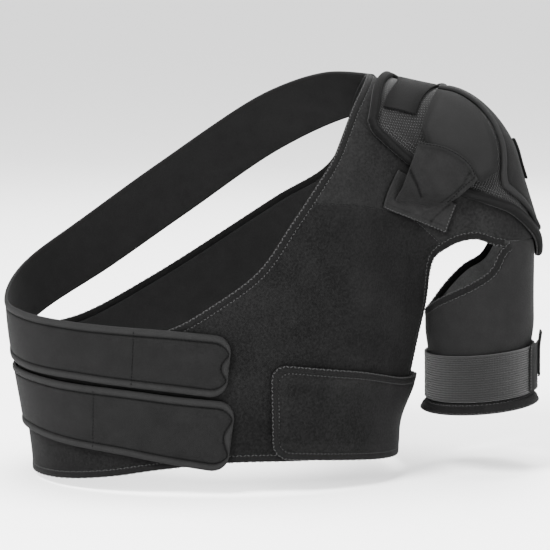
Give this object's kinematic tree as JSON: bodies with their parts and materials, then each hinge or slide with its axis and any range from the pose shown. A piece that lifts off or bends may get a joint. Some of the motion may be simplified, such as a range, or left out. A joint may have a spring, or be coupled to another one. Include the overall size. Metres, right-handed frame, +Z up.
{
  "type": "shoulder brace",
  "caption": "Soft shoulder brace in its worn form: a chest wrap over one shoulder, two cross straps, an upper arm sleeve and a padded cap over the shoulder.",
  "frame": {"origin": "the seat on top of the braced shoulder, on the inner face of the fabric", "axes": "+Z up, -Y to the front of the body, +X out along the braced shoulder"},
  "size_m": [0.4835, 0.2475, 0.3561],
  "materials": {
    "loop_fabric": "fuzzy loop fabric on foam rubber",
    "strap_fabric": "matt brushed fabric",
    "sleeve_fabric": "smooth fine weave",
    "binding": "matt folded tape with cover stitches",
    "mesh": "open spacer mesh",
    "pad_fabric": "smooth padded fabric",
    "elastic": "ribbed elastic",
    "hook_tape": "matt hook tape",
    "pull_tab": "satin coated fabric"
  },
  "bodies": {
    "root": {"shoulder_yoke": "strap_fabric", "front_panel": "loop_fabric", "back_panel": "loop_fabric", "neck_binding": "binding", "hem_binding": "binding", "armhole_binding_front": "binding", "armhole_binding_back": "binding", "upper_strap": "strap_fabric", "lower_strap": "strap_fabric", "side_tab": "loop_fabric", "side_tab_binding": "binding", "arm_sleeve": "sleeve_fabric", "sleeve_top_binding": "binding", "sleeve_hem_binding": "binding", "arm_band": "elastic", "arm_band_keeper": "hook_tape", "arm_band_end": "pull_tab", "cap_mesh": "mesh", "cap_rim": "binding", "cap_front_pad": "pad_fabric", "cap_outer_band": "pad_fabric", "shoulder_loop": "strap_fabric", "back_tab": "pull_tab", "front_anchor": "pull_tab", "front_tab": "pull_tab"}
  },
  "joints": []
}
